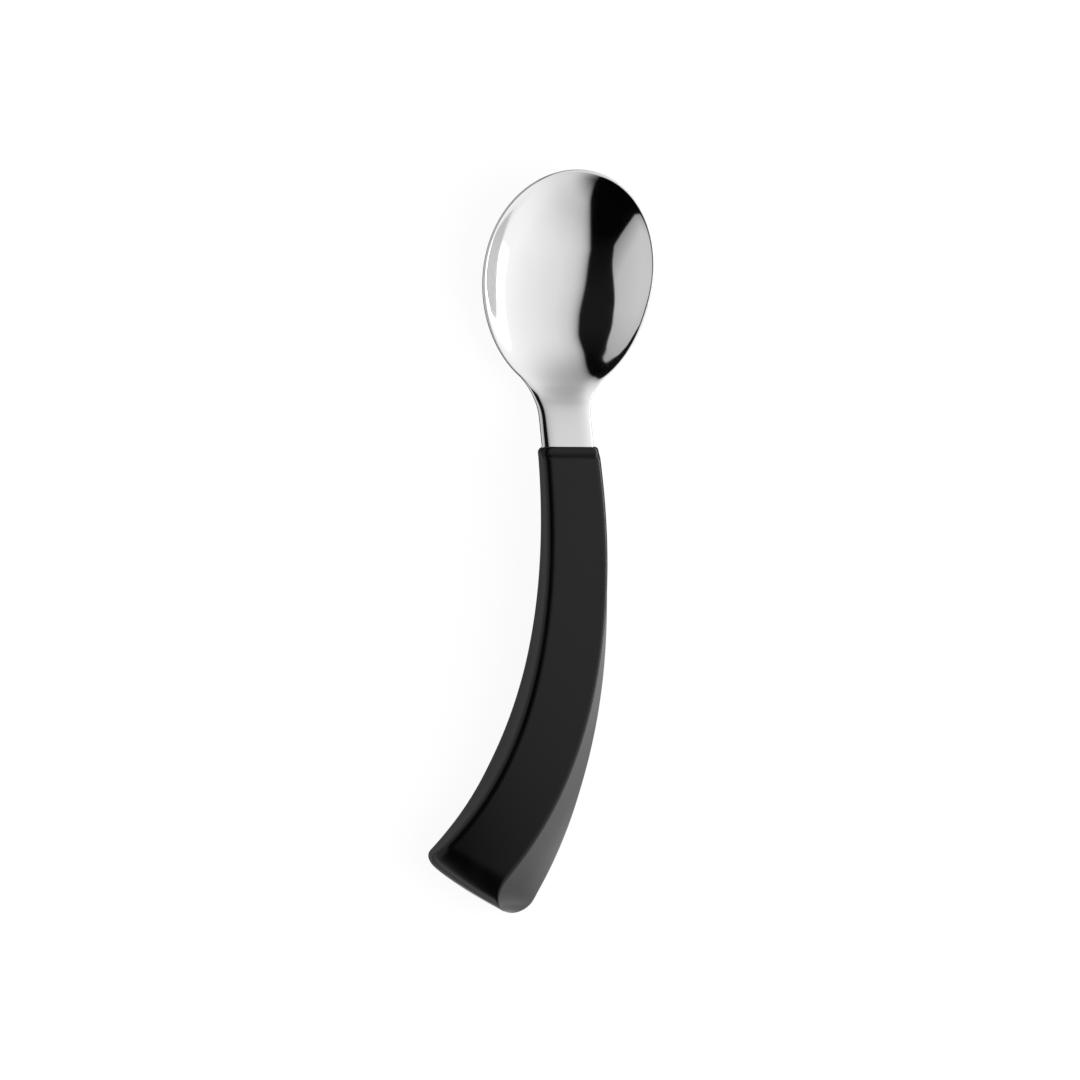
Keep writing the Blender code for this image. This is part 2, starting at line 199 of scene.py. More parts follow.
# Camera: leaning to the left of the spoon and a little towards the tip, with a slight roll
IMAGE_SIZE = 1080
CAMERA_LEAN_LEFT = math.radians(20.0)
CAMERA_LEAN_TIP = math.radians(5.0)
CAMERA_ROLL = math.radians(1.5)
CAMERA_DISTANCE = 900.0
CAMERA_AIM = (-0.28, 0.0, 12.4)
AIM_PIXEL = (567.4, 446.5)
CAMERA_LENS = 126.0
CAMERA_SENSOR = 36.0


def blend(ends, share):
    """Value between two ends, held at the ends."""
    share = min(1.0, max(0.0, share))
    return ends[0] + (ends[1] - ends[0]) * share


def smooth(start, stop, value):
    """Smooth step from 0 at start to 1 at stop."""
    share = min(1.0, max(0.0, (value - start) / (stop - start)))
    return share * share * (3.0 - 2.0 * share)


def add_object(name, data):
    """New object in the scene."""
    item = bpy.data.objects.new(name, data)
    bpy.context.scene.collection.objects.link(item)
    return item


def smooth_object(name, mesh):
    """New object in the scene with smooth faces."""
    mesh.polygons.foreach_set("use_smooth", [True] * len(mesh.polygons))
    return add_object(name, mesh)


def new_object(name, points, faces):
    """Smooth mesh object from points in millimetres, measured from the collar."""
    mesh = bpy.data.meshes.new(name)
    mesh.from_pydata(((np.array(points) + COLLAR_PLACE) * MM).tolist(), [], faces)
    mesh.validate()
    mesh.update()
    return smooth_object(name, mesh)


# Steel blank


def rim_height(y):
    """Height of the rim, the top of the neck and the top of the tang, along the spoon."""
    crank_end = RIM_LOW_Y - CRANK_LENGTH
    if y >= RIM_LOW_Y:
        return RIM_LOW_Z + RIM_SWEEP * (y - RIM_LOW_Y) ** 2
    if y >= crank_end:
        return RIM_LOW_Z + NECK_SLOPE * (RIM_LOW_Y - y) ** 2 / (2.0 * CRANK_LENGTH)
    neck = RIM_LOW_Z + NECK_SLOPE * (CRANK_LENGTH / 2.0 + crank_end - max(y, 0.0))
    run = min(max(-y, 0.0), TANG_LEVEL_OUT)
    return neck + NECK_SLOPE * (run - run * run / (2.0 * TANG_LEVEL_OUT))


def egg_half_width(along):
    """Half width of the ellipse that the egg follows, at a share of its half length towards the tip."""
    return BOWL_HALF_WIDTH * (1.0 + BOWL_EGG * max(along, EGG_ALONG_LEAST))


def hollow(x, y):
    """Depth of the bowl's hollow below its rim, run out smoothly into the neck."""
    along = (y - BOWL_MIDDLE_Y) / BOWL_HALF_LENGTH
    ratio = math.hypot(x / egg_half_width(along), along)
    depth = BOWL_DEPTH * (1.0 - ratio**HOLLOW_POWER)
    run_out = HOLLOW_RUN_OUT * smooth(*RUN_OUT_YS, y)
    return 0.5 * (depth + math.sqrt(depth * depth + 4.0 * run_out * run_out))


def bowl_outline_point(angle):
    """Point of the egg; a quarter turn is the tip, zero the widest place."""
    along = math.sin(angle)
    return egg_half_width(along) * math.cos(angle), BOWL_MIDDLE_Y + BOWL_HALF_LENGTH * along


def shoulder_arc():
    """Middle of the arc that joins neck and egg, and the angle on the egg where it lands."""
    middle_x = NECK_HALF_WIDTH + SHOULDER_RADIUS
    angles = np.linspace(*SHOULDER_ANGLES, SEARCH_POINTS)
    egg = np.array([bowl_outline_point(angle) for angle in angles])
    low, high = SHOULDER_YS
    for _ in range(SEARCH_HALVINGS):
        middle_y = 0.5 * (low + high)
        reach = np.hypot(egg[:, 0] - middle_x, egg[:, 1] - middle_y)
        if reach.min() > SHOULDER_RADIUS:
            low = middle_y
        else:
            high = middle_y
    return (middle_x, middle_y), angles[int(reach.argmin())]


(ARC_X, ARC_Y), ARC_LANDING = shoulder_arc()


def neck_crown(x, y):
    """How far the domed top of the neck falls towards its edges."""
    rise = min(max(y - ARC_Y, 0.0), SHOULDER_RADIUS)
    width = NECK_HALF_WIDTH + SHOULDER_RADIUS - math.sqrt(SHOULDER_RADIUS**2 - rise**2)
    return NECK_CROWN * smooth(*NECK_CROWN_YS, y) * min(1.0, abs(x) / width) ** NECK_CROWN_POWER


def gauge(y):
    """Thickness of the steel, measured upright."""
    return blend((BOWL_GAUGE, NECK_GAUGE), smooth(*NECK_GAUGE_YS, y))


def steel_top(x, y):
    return rim_height(y) - hollow(x, y) - neck_crown(x, y)


def steel_under(x, y):
    return rim_height(y) - hollow(x, y) - gauge(y)


def half_outline():
    """Right half of the blank's outline, from the tip of the bowl round to the end of the tang."""
    land_x, land_y = bowl_outline_point(ARC_LANDING)
    arc_start = math.atan2(land_y - ARC_Y, ARC_X - land_x)
    points = [bowl_outline_point(angle) for angle in np.linspace(0.5 * math.pi, 0.0, EGG_POINTS)]
    points += [bowl_outline_point(angle) for angle in np.linspace(0.0, ARC_LANDING, EGG_POINTS)[1:]]
    for angle in np.linspace(arc_start, 0.0, SHOULDER_POINTS)[1:]:
        x = ARC_X - SHOULDER_RADIUS * math.cos(angle)
        points.append((x, ARC_Y + SHOULDER_RADIUS * math.sin(angle)))
    points += [(NECK_HALF_WIDTH, y) for y in np.linspace(ARC_Y, SHOULDER_TOP_Y, NECK_POINTS)[1:]]
    return points + tang_outline()


def tang_outline():
    """Right half of the tang's outline, below the neck's shoulder."""
    end_middle = TANG_END_Y + TANG_END_HALF_WIDTH
    points = []
    for share in np.linspace(0.0, 1.0, TANG_POINTS):
        width = blend((TANG_HALF_WIDTH, TANG_END_HALF_WIDTH), share)
        points.append((width, SHOULDER_FOOT_Y + (end_middle - SHOULDER_FOOT_Y) * share))
    for angle in np.linspace(0.0, 0.5 * math.pi, ARC_POINTS)[1:]:
        x = TANG_END_HALF_WIDTH * math.cos(angle)
        points.append((x, end_middle - TANG_END_HALF_WIDTH * math.sin(angle)))
    return points


def close_outline(half):
    """Whole outline from its right half, with the outward direction at each point."""
    left = [(-x, y) for x, y in reversed(half[1:-1])]
    ring = np.array([(0.0, half[0][1])] + half[1:-1] + [(0.0, half[-1][1])] + left)
    along = np.roll(ring, -1, axis=0) - np.roll(ring, 1, axis=0)
    along /= np.linalg.norm(along, axis=1)[:, None]
    return ring, np.column_stack([-along[:, 1], along[:, 0]])


def plate(half, spine_ends, grow):
    """Closed plate over an outline: loops run from the spine over the top and back below."""
    ring, outward = close_outline(half)
    ring = ring + outward * grow
    spine = np.column_stack([np.zeros(len(ring)), np.clip(ring[:, 1], *spine_ends)])
    radii = np.array([steel_rounds(y) for y in ring[:, 1]])
    loops = []
    for side, sign, surface in ((0, 1.0, steel_top), (1, -1.0, steel_under)):
        radius = radii[:, side][:, None]
        inner = ring - outward * radius
        half_loops = []
        for level in np.linspace(0.0, 1.0, PLATE_LEVELS):
            flat = spine + (inner - spine) * level
            heights = [surface(x, y) + sign * grow for x, y in flat]
            half_loops.append(np.column_stack([flat, heights]))
        for angle in np.linspace(0.0, 0.5 * math.pi, PLATE_ARC_STEPS)[1:]:
            flat = inner + outward * radius * math.sin(angle)
            drop = radius[:, 0] * (1.0 - math.cos(angle))
            heights = [surface(x, y) + sign * grow for x, y in flat] - sign * drop
            half_loops.append(np.column_stack([flat, heights]))
        loops += half_loops if side == 0 else half_loops[::-1]
    return weave(loops)


def weave(loops):
    """Points and faces of stacked loops, with points that fall together made one."""
    points, numbers, index = [], {}, []
    for loop in loops:
        row = []
        for place in loop:
            key = tuple(np.round(place, SAME_PLACE_DIGITS))
            if key not in numbers:
                numbers[key] = len(points)
                points.append(place)
            row.append(numbers[key])
        index.append(row)
    faces = []
    for upper, lower in zip(index, index[1:]):
        for k in range(len(upper)):
            following = (k + 1) % len(upper)
            corners = [upper[k], upper[following], lower[following], lower[k]]
            face = list(dict.fromkeys(corners))
            if len(face) > 2:
                faces.append(face[::-1])
    return points, faces


def steel_rounds(y):
    """Edge rounding of the blank on its top and underside."""
    if y < SHOULDER_TOP_Y - TANG_ROUND_BELOW:
        return TANG_ROUND, TANG_ROUND
    share = smooth(*NECK_ROUND_YS, y)
    top = blend((RIM_ROUND_TOP, NECK_ROUND_TOP), share)
    return top, blend((RIM_ROUND_UNDER, NECK_ROUND_UNDER), share)


def build_steel():
    spine_ends = (TANG_END_Y + TANG_END_HALF_WIDTH, BOWL_MIDDLE_Y)
    return new_object("steel_spoon_body", *plate(half_outline(), spine_ends, 0.0))


def build_socket():
    """Cutter for the tang's socket: the neck's foot and the tang, grown by the clearance."""
    side_ys = np.linspace(SOCKET_MOUTH_Y, SHOULDER_TOP_Y, NECK_POINTS)
    half = [(0.0, SOCKET_MOUTH_Y)] + [(NECK_HALF_WIDTH, y) for y in side_ys] + tang_outline()
    spine_ends = (TANG_END_Y + TANG_END_HALF_WIDTH, 0.5 * SOCKET_MOUTH_Y)
    return new_object("socket_cutter", *plate(half, spine_ends, CLEARANCE))


def build_pin(name, y, radius):
    """Upright round cutter through the tang."""
    height = NECK_GAUGE + 2.0 * PIN_OVERSHOOT
    middle = Vector((0.0, y, rim_height(y) - 0.5 * NECK_GAUGE)) + Vector(COLLAR_PLACE)
    shape = bmesh.new()
    bmesh.ops.create_cone(
        shape,
        cap_ends=True,
        segments=PIN_SIDES,
        radius1=radius * MM,
        radius2=radius * MM,
        depth=height * MM,
        matrix=Matrix.Translation(middle * MM),
    )
    mesh = bpy.data.meshes.new(name)
    shape.to_mesh(mesh)
    shape.free()
    return smooth_object(name, mesh)


# Handle


def handle_axis():
    """Arc length and places along the handle's axis."""
    knots = [Vector((*knot, 0.0)) for knot in (AXIS_START, AXIS_START_PULL, AXIS_END_PULL, AXIS_END)]
    places = np.array([place[:2] for place in interpolate_bezier(*knots, AXIS_POINTS)])
    steps = np.linalg.norm(np.diff(places, axis=0), axis=1)
    return np.concatenate([[0.0], np.cumsum(steps)]), places


AXIS_RUN, AXIS_PLACES = handle_axis()
HANDLE_LENGTH = AXIS_RUN[-1]


def handle_top(run):
    if run < TOP_HIGHEST_AT:
        share = (TOP_HIGHEST_AT - run) / TOP_HIGHEST_AT
        return TOP_HIGHEST - (TOP_HIGHEST - TOP_AT_COLLAR) * share**2
    share = (run - TOP_HIGHEST_AT) / (HANDLE_LENGTH - TOP_HIGHEST_AT)
    return TOP_HIGHEST - (TOP_HIGHEST - TOP_AT_HEEL) * share**2


def handle_under(run):
    share = min(1.0, run / PAD_STARTS_AT)
    return UNDER_AT_COLLAR * (1.0 - share**2) ** UNDER_POWER


def end_inset(distance, radius):
    """How far a rounded end has drawn in at a distance from the end."""
    if distance >= radius:
        return 0.0
    return radius - math.sqrt(radius**2 - (radius - distance) ** 2)


def collar_drop(run):
    """Fall of the top over the collar's step, band and lip."""
    band = BAND_SLOPE * max(0.0, BAND_LENGTH - run)
    return band + STEP_DROP * smooth(*STEP_RUNS, run) + end_inset(run, COLLAR_LIP)


def section_corners(run):
    """Corners across the handle, clockwise from the top of the left wall, and their rounding."""
    share = max(0.0, run / HANDLE_LENGTH)
    to_heel = HANDLE_LENGTH - run
    lean = math.tan(LEAN_AT_HEEL * share**LEAN_POWER)
    top, under = handle_top(run), handle_under(run)
    heel_drop = end_inset(to_heel, HEEL_TOP) * HEEL_TOP_DROP / HEEL_TOP
    step = collar_drop(run)
    drop = step + heel_drop
    left_in = end_inset(run, COLLAR_LEFT) + end_inset(to_heel, HEEL_LEFT)
    collar_in = end_inset(run, COLLAR_RIGHT)
    rise = end_inset(run, COLLAR_UNDER) + end_inset(to_heel, HEEL_UNDER)

    left = blend(TOP_LEFT, share) - left_in
    right = blend(TOP_RIGHT, share)
    foot = blend(FOOT_RIGHT, share) + FACET_RUN * share**FACET_POWER
    foot_height = under + blend(RIGHT_WALL, WALL_PACE * share)
    facet_slope = (foot - right) / (top + right * lean - foot_height)
    foot -= collar_in + end_inset(to_heel, HEEL_RIGHT)
    rolled = top - (left - ROLLED_EDGE) * lean - drop
    corners = [
        (-left, rolled - ROLLED_EDGE * ROLLED_SLOPE),
        (-left + ROLLED_EDGE, rolled),
        (right - collar_in + BAND_FLARE * step + facet_slope * heel_drop, top + right * lean - drop),
        (foot, foot_height),
        (foot - RIGHT_LEAN, under + rise),
        (-UNDER_LEFT + left_in, under + rise),
    ]
    radii = [
        blend(ROUND_LEFT_EDGE, share),
        blend(ROUND_ROLLED_EDGE, share),
        blend(ROUND_CREASE, CREASE_PACE * share),
        blend(ROUND_FOOT, share),
        blend(ROUND_UNDER_RIGHT, WALL_PACE * share),
        blend(ROUND_UNDER_LEFT, WALL_PACE * share),
    ]
    return np.array(corners), np.array(radii)


def section(run):
    """Rounded outline across the handle, clockwise from the top of the left wall."""
    corners, radii = section_corners(run)
    edges = np.roll(corners, -1, axis=0) - corners
    lengths = np.linalg.norm(edges, axis=1)
    edges /= lengths[:, None]
    after = np.column_stack([-edges[:, 1], edges[:, 0]])
    before = np.roll(after, 1, axis=0)
    sines = before[:, 0] * after[:, 1] - before[:, 1] * after[:, 0]
    turns = np.arctan2(sines, (before * after).sum(axis=1))
    reach = radii * np.tan(0.5 * np.abs(turns))
    room = np.minimum(1.0, EDGE_ROOM * lengths / (reach + np.roll(reach, -1)))
    radii = radii * np.minimum(room, np.roll(room, 1))
    middles = corners - (radii / (1.0 + np.cos(turns)))[:, None] * (before + after)
    places = []
    for k in range(len(corners)):
        start = math.atan2(before[k, 1], before[k, 0])
        for angle in start + turns[k] * np.linspace(0.0, 1.0, ARC_POINTS):
            places.append(middles[k] + radii[k] * np.array([math.cos(angle), math.sin(angle)]))
        following = (k + 1) % len(corners)
        begin = places[-1]
        finish = middles[following] + radii[following] * after[k]
        for turn in np.linspace(0.0, math.pi, EDGE_POINTS[k] + 2)[1:-1]:
            places.append(begin + (finish - begin) * 0.5 * (1.0 - math.cos(turn)))
    return np.array(places)


def handle_place(run, across, height):
    """Point of the handle from its run along the axis, its distance to the right and its height."""
    turn = HEEL_TURN * (max(0.0, run) / HANDLE_LENGTH) ** 2
    x = np.interp(run, AXIS_RUN, AXIS_PLACES[:, 0])
    y = np.interp(run, AXIS_RUN, AXIS_PLACES[:, 1])
    return x + across * math.cos(turn), y - across * math.sin(turn), height


HEEL_ACROSS = section(HANDLE_LENGTH)[:, 0]
HEEL_MIDDLE = 0.5 * (HEEL_ACROSS.max() + HEEL_ACROSS.min()) + HEEL_CROWN_ACROSS
HEEL_HALF = 0.5 * (HEEL_ACROSS.max() - HEEL_ACROSS.min())


def heel_bulge(across, run):
    """How far the bulging end lies behind its middle, across the heel."""
    rounding = min(1.0, max(0.0, 1.0 - (HANDLE_LENGTH - run) / HEEL_TOP))
    return HEEL_CROWN * ((across - HEEL_MIDDLE) / HEEL_HALF) ** 2 * rounding


def build_handle():
    quarter = 0.5 * math.pi
    collar_turns = np.linspace(0.0, quarter, COLLAR_RINGS)
    heel_turns = np.linspace(0.0, quarter, HEEL_RINGS)
    body_start = COLLAR_REACH + BODY_MARGINS[0]
    body_end = HANDLE_LENGTH - HEEL_TOP - BODY_MARGINS[1]
    runs = [COLLAR_REACH * (1.0 - math.cos(turn)) for turn in collar_turns]
    runs += list(np.linspace(body_start, body_end, BODY_RINGS))
    runs += [HANDLE_LENGTH - HEEL_TOP * (1.0 - math.sin(turn)) for turn in heel_turns]
    outlines = [(run, section(run)) for run in runs]
    heel = outlines[-1][1]
    middle = heel.mean(axis=0)
    outlines += [(HANDLE_LENGTH, middle + (heel - middle) * share) for share in CAP_SHARES]

    rings = []
    for run, outline in outlines:
        ring = [handle_place(run - heel_bulge(across, run), across, height) for across, height in outline]
        rings.append(np.array(ring))
    points, faces = weave(rings)
    faces = [face[::-1] for face in faces]
    count = len(heel)
    faces.append(list(range(count))[::-1])
    faces.append(list(range(len(points) - count, len(points))))
    return new_object("handle_body", points, faces)


def drop_spare_points(mesh):
    """Take out the points that cutting leaves along edges that are straight without them."""
    shape = bmesh.new()
    shape.from_mesh(mesh)
    spare = set()
    for point in shape.verts:
        ends = [edge.other_vert(point) for edge in point.link_edges]
        if len(ends) == 2 and spare.isdisjoint(ends):
            foot, _ = intersect_point_line(point.co, ends[0].co, ends[1].co)
            if (foot - point.co).length < STRAIGHT_WITHIN * MM:
                spare.add(point)
    bmesh.ops.dissolve_verts(shape, verts=list(spare))
    shape.to_mesh(mesh)
    shape.free()


def cut(part, *cutters):
    """Take the cutters out of a part for good."""
    for cutter in cutters:
        modifier = part.modifiers.new(cutter.name, "BOOLEAN")
        modifier.operation = "DIFFERENCE"
        modifier.solver = "EXACT"
        modifier.object = cutter
    evaluated = part.evaluated_get(bpy.context.evaluated_depsgraph_get())
    mesh = bpy.data.meshes.new_from_object(evaluated)
    part.modifiers.clear()
    part.data = mesh
    drop_spare_points(mesh)
    for cutter in cutters:
        bpy.data.objects.remove(cutter, do_unlink=True)


def build_pieces():
    steel, handle, socket = build_steel(), build_handle(), build_socket()
    cut(steel, *[build_pin(f"lock_hole_{y:.0f}", y, LOCK_HOLE_RADIUS) for y in LOCK_HOLE_YS])
    cut(socket, *[build_pin(f"lock_post_{y:.0f}", y, LOCK_HOLE_RADIUS - CLEARANCE) for y in LOCK_HOLE_YS])
    cut(handle, socket)
    for part in (steel, handle):
        part.data.set_sharp_from_angle(angle=SHARP_ANGLE)
    return steel, handle


# Materials

# Noise: cells per metre along X, Y and Z, and the part of its range that is used
NOISE_RANGE = (0.3, 0.7)
PLAIN_DETAIL = 2.0
FINE_DETAIL = 3.0

# Polished steel
STEEL_LINES = (5200.0, 60.0, 5200.0)
STEEL_LINE_DEPTH = 4.0e-7
STEEL_HAZE = (90.0, 45.0, 90.0)
STEEL_GREY = (0.785, 0.805)
STEEL_ROUGHNESS = (0.045, 0.075)

# Black plastic
PLASTIC_GRAIN = (3600.0, 3600.0, 3600.0)
PLASTIC_GRAIN_DEPTH = 4.0e-6
PLASTIC_FLOW = (140.0, 60.0, 140.0)
PLASTIC_GREY = (0.001, 0.0017)
PLASTIC_ROUGHNESS = (0.2, 0.24)
PLASTIC_IOR = 1.39


class Nodes:
    """Short ways to add and join shader nodes."""

    def __init__(self, tree):
        self.tree = tree
        self.tree.nodes.clear()

    def add(self, kind, **settings):
        node = self.tree.nodes.new(kind)
        for name, value in settings.items():
            setattr(node, name, value)
        return node

    def feed(self, socket, value):
        if isinstance(value, bpy.types.NodeSocket):
            self.tree.links.new(value, socket)
        else:
            socket.default_value = value

    def calc(self, operation, first, second=0.0):
        node = self.add("ShaderNodeMath", operation=operation)
        self.feed(node.inputs[0], first)
        self.feed(node.inputs[1], second)
        return node.outputs[0]

    def span(self, value, start, stop, low, high, kind="LINEAR"):
        """Value carried from one range to another, held at its ends."""
        node = self.add("ShaderNodeMapRange", interpolation_type=kind)
        ends = {"From Min": start, "From Max": stop, "To Min": low, "To Max": high}
        self.feed(node.inputs["Value"], value)
        for name, end in ends.items():
            self.feed(node.inputs[name], end)
        return node.outputs["Result"]

    def noise(self, scale, detail=PLAIN_DETAIL):
        """Noise over the piece's own coordinates; scale is cells per metre along X, Y and Z."""
        place = self.add("ShaderNodeTexCoord").outputs["Object"]
        mapping = self.add("ShaderNodeMapping")
        mapping.inputs["Scale"].default_value = scale
        self.tree.links.new(place, mapping.inputs["Vector"])
        noise = self.add("ShaderNodeTexNoise")
        noise.inputs["Scale"].default_value = 1.0
        noise.inputs["Detail"].default_value = detail
        self.tree.links.new(mapping.outputs["Vector"], noise.inputs["Vector"])
        return noise.outputs["Fac"]

    def grey(self, value):
        node = self.add("ShaderNodeCombineColor")
        for socket in node.inputs[:3]:
            self.feed(socket, value)
        return node.outputs["Color"]

    def bump(self, height, distance):
        node = self.add("ShaderNodeBump")
        node.inputs["Distance"].default_value = distance
        self.tree.links.new(height, node.inputs["Height"])
        return node.outputs["Normal"]

    def seen(self):
        """One where a surface is looked at or mirrored, nought where it only gives light."""
        path = self.add("ShaderNodeLightPath")
        seen = self.calc("MAXIMUM", path.outputs["Is Camera Ray"], path.outputs["Is Glossy Ray"])
        return self.calc("MAXIMUM", seen, path.outputs["Is Transmission Ray"])

    def finish(self, shader, output="ShaderNodeOutputMaterial"):
        """Send a shader to the output."""
        self.feed(self.add(output).inputs["Surface"], shader.outputs[0])


def new_material(name):
    """New material with its node tools."""
    material = bpy.data.materials.new(name)
    material.use_nodes = True
    return material, Nodes(material.node_tree)


def surface_nodes(name):
    """New material with its node tools and its Principled shader."""
    material, nodes = new_material(name)
    shader = nodes.add("ShaderNodeBsdfPrincipled")
    nodes.finish(shader)
    return material, nodes, shader


def polished_steel():
    """Mirror polish with the faint lines that buffing along the spoon leaves."""
    material, nodes, shader = surface_nodes("polished_steel")
    lines = nodes.noise(STEEL_LINES, FINE_DETAIL)
    haze = nodes.noise(STEEL_HAZE)
    shader.inputs["Metallic"].default_value = 1.0
    nodes.feed(shader.inputs["Base Color"], nodes.grey(nodes.span(haze, *NOISE_RANGE, *STEEL_GREY)))
    nodes.feed(shader.inputs["Roughness"], nodes.span(lines, *NOISE_RANGE, *STEEL_ROUGHNESS))
    nodes.feed(shader.inputs["Normal"], nodes.bump(lines, STEEL_LINE_DEPTH))
    return material


def black_plastic():
    """Moulded black plastic with a fine satin grain."""
    material, nodes, shader = surface_nodes("black_plastic")
    grain = nodes.noise(PLASTIC_GRAIN, FINE_DETAIL)
    flow = nodes.noise(PLASTIC_FLOW)
    shader.inputs["IOR"].default_value = PLASTIC_IOR
    nodes.feed(shader.inputs["Base Color"], nodes.grey(nodes.span(flow, *NOISE_RANGE, *PLASTIC_GREY)))
    nodes.feed(shader.inputs["Roughness"], nodes.span(flow, *NOISE_RANGE, *PLASTIC_ROUGHNESS))
    nodes.feed(shader.inputs["Normal"], nodes.bump(grain, PLASTIC_GRAIN_DEPTH))
    return material


# Studio

# Hall of cards round the spoon, seen only in reflections, in metres from the collar and degrees from upright
HALL_RADIUS = 0.6
HALL_ENDS = (-2.4, 2.0)
HALL_SIDES = 48
GAP_LIGHT = (-0.6, 0.0, 0.001, 0.011)
GAP_FADE_TIP = (0.2, 0.55, 1.0, 0.2)

# Large soft panel from overhead round to the right: degrees right of upright, and its light there
PANEL_LIGHT = (
    (-4.2, 0.0),
    (-2.9, 0.02),
    (-1.7, 0.23),
    (0.0, 0.42),
    (4.0, 0.62),
    (9.0, 0.75),
    (21.0, 0.88),
    (43.0, 1.0),
    (62.0, 1.09),
    (74.0, 1.15),
)
PANEL_TOP = 1.15
PANEL_CORNER_Y = -0.4
PANEL_CORNER_SLANT = 23.5
PANEL_LIP = (
    (-1.6, -0.9, 0.0, 2.4),
    (-0.7, -0.3, 0.0, -1.5),
    (-0.14, 0.14, 0.0, -2.2),
    (0.25, 0.5, 0.0, 5.2),
)
PANEL_FADE_TIP = (0.24, 0.78, 0.5)
PANEL_BACK_TIP = (1.0, 1.35, 0.06)
PANEL_FADE_HEEL = (-0.25, -1.05, 0.75)
PANEL_BACK_HEEL = (-1.1, -2.45, 0.12)

# Strip lamp along the foot of the panel
STRIP_LIGHT = (75.0, 88.0, 0.0, 5.0)
STRIP_HEEL_END = (-0.225, -0.08, 0.0, 1.0)

# Grey card on the left: its inner edge, slanted ends and light
CARD_EDGE = (-0.3, 0.08, -26.6, -32.8)
CARD_EDGE_BACK = (0.18, 0.42, 0.0, 4.9)
CARD_EDGE_TIP = (0.39, 0.5, 0.0, 4.6)
CARD_EDGE_SOFT = 0.4
CARD_HEEL_END = -0.457
CARD_TIP_END = 0.6
CARD_END_SLANT = 0.0227
CARD_INNER_ANGLE = -27.0
CARD_END_SOFT = 0.02
CARD_LIGHT = (-29.0, -50.0, 0.57, 0.7)
CARD_HEEL_SHADE = (0.0, 0.45, 0.5, 1.0)
CARD_TIP_SHADE = (0.1, 0.5, 1.0, 0.78)

# Painted shade and light on the table round the spoon: a glowing sheet seen only in reflections, dim where
# the spoon shades the table and brighter outwards, with a painted highlight beside the handle's foot; in
# millimetres from the collar
SHADE_SHEET_X = (-70.0, 60.0)
SHADE_SHEET_Y = (-170.0, 110.0)
SHADE_SHEET_CELL = 2.5
SHADE_SHEET_DROP = 0.015
PAINTED_SHADE_LEFT = (0.155, 0.95)
PAINTED_SHADE_LEFT_ACROSS = (9.5, 37.0)
PAINTED_SHADE_BEHIND = 0.025
PAINTED_LIGHT_RIGHT = ((10.0, 0.2), (46.0, 0.52), (72.0, 0.53), (85.0, 0.66), (100.0, 0.84), (126.0, 1.2))
PAINTED_HIGHLIGHT_FOOT_X = -13.75
PAINTED_HIGHLIGHT_FOOT_SLANT = 0.25
PAINTED_HIGHLIGHT_FOOT_REACH = (7.0, 0.0)
PAINTED_HIGHLIGHT_FOOT_BACK = (-8.0, -2.0)
PAINTED_HIGHLIGHT_FOOT_GAIN = 1.3
PAINTED_SHADE_SEAM = 12.0
PAINTED_SHADE_COLLAR_YS = (-4.0, 1.0)
PAINTED_SHADE_BOWL = (0.08, 0.45)
PAINTED_SHADE_BOWL_ACROSS = (20.0, 60.0)

FLOOR_SIZE = 8.0
FLOOR_DROP = 0.00003
FLOOR_CLOUDS = (1.5, 1.5, 1.5)
FLOOR_GREY = (0.9, 0.92)
FLOOR_CAMERA_LIGHT = 0.86
FLOOR_GLOW = 1.08
SKY_DIFFUSE = 0.45
KEY_PLACE = (0.46, -0.05, 0.55)
KEY_SIZE = (0.5, 1.0)
KEY_POWER = 3.2


